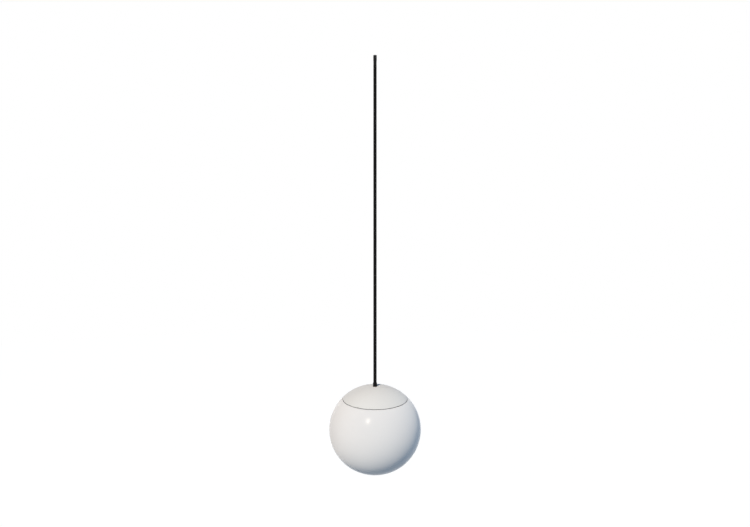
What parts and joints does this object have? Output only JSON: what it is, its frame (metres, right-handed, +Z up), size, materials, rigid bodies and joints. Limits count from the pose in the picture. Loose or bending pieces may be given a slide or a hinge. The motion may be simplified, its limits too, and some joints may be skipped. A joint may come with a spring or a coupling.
{
  "type": "pendant lamp",
  "caption": "Pendant lamp: an opal glass globe with a flush matt white cap, hung on a straight black cord from a slim ceiling anchor.",
  "frame": {"origin": "centre of the flat top of the ceiling anchor, where the lamp hangs from the ceiling", "axes": "+Z up along the cord, out of the anchor's top; +X to the right and -Y towards the viewer in the picture"},
  "size_m": [0.2, 0.2, 0.965],
  "materials": {
    "black_steel": "matt",
    "bright_steel": "satin",
    "spring_steel": "satin",
    "zinc_steel": "satin",
    "brass": "satin",
    "flex": "matt",
    "grip": "satin",
    "cap": "matt",
    "gasket": "matt",
    "phenolic": "satin",
    "ceramic": "matt",
    "brown_insulation": "satin",
    "blue_insulation": "satin",
    "earth_insulation": "satin",
    "opal_glass": "satin",
    "bulb_glass_black": "gloss",
    "bulb_shell": "satin",
    "bulb_white": "satin",
    "bulb_dome": "satin"
  },
  "bodies": {
    "ceiling_end": {"ceiling_anchor": "black_steel"},
    "swing_bead": {"anchor_bead": "bright_steel"},
    "pendant": {"swing_socket": "black_steel", "pendant_cord": "flex", "cord_grip": "grip", "cord_tail": "flex", "cap_shell": "cap", "crown_boss": "zinc_steel", "gallery_spider": "zinc_steel", "lock_washer": "zinc_steel", "lock_nut": "brass", "glass_clip_1": "spring_steel", "glass_clip_2": "spring_steel", "glass_clip_3": "spring_steel", "clip_rivet_1": "bright_steel", "clip_rivet_2": "bright_steel", "clip_rivet_3": "bright_steel", "rim_gasket": "gasket", "holder_cap": "zinc_steel", "holder_neck_screw": "bright_steel", "holder_skirt": "phenolic", "holder_core": "ceramic", "holder_thread_shell": "brass", "centre_contact": "brass", "live_terminal": "brass", "neutral_terminal": "brass", "earth_terminal": "brass", "live_terminal_screw": "bright_steel", "neutral_terminal_screw": "bright_steel", "earth_terminal_screw": "bright_steel", "live_core": "brown_insulation", "neutral_core": "blue_insulation", "earth_core": "earth_insulation"},
    "globe": {"opal_globe": "opal_glass"},
    "bulb_tip": {"bulb_contact": "bright_steel"},
    "bulb": {"bulb_insulator": "bulb_glass_black", "bulb_screw_shell": "bulb_shell", "bulb_housing": "bulb_white", "bulb_board": "bulb_white", "bulb_dome": "bulb_dome"}
  },
  "joints": [
    {"name": "swing_front_back", "type": "hinge", "parent": "ceiling_end", "child": "swing_bead", "pos_m": [0, 0, -0.014], "axis": [1, 0, 0], "range_deg": [-20, 20]},
    {"name": "swing_side", "type": "hinge", "parent": "swing_bead", "child": "pendant", "pos_m": [0, 0, -0.014], "axis": [0, 1, 0], "range_deg": [-20, 20]},
    {"name": "globe_removal", "type": "slide", "parent": "pendant", "child": "globe", "axis": [0, 0, -1], "range_m": [0, 0.14], "deforming": ["glass_clip_1", "glass_clip_2", "glass_clip_3"]},
    {"name": "bulb_travel", "type": "slide", "parent": "pendant", "child": "bulb_tip", "axis": [0, 0, -1], "range_m": [0, 0.0109]},
    {"name": "bulb_turn", "type": "hinge", "parent": "bulb_tip", "child": "bulb", "pos_m": [0, 0, -0.865], "axis": [0, 0, -1], "range_deg": [0, 1080]}
  ],
  "couplings": [
    {"joint": "bulb_travel", "follows": "bulb_turn", "m_per_rad": 0.00057755}
  ]
}
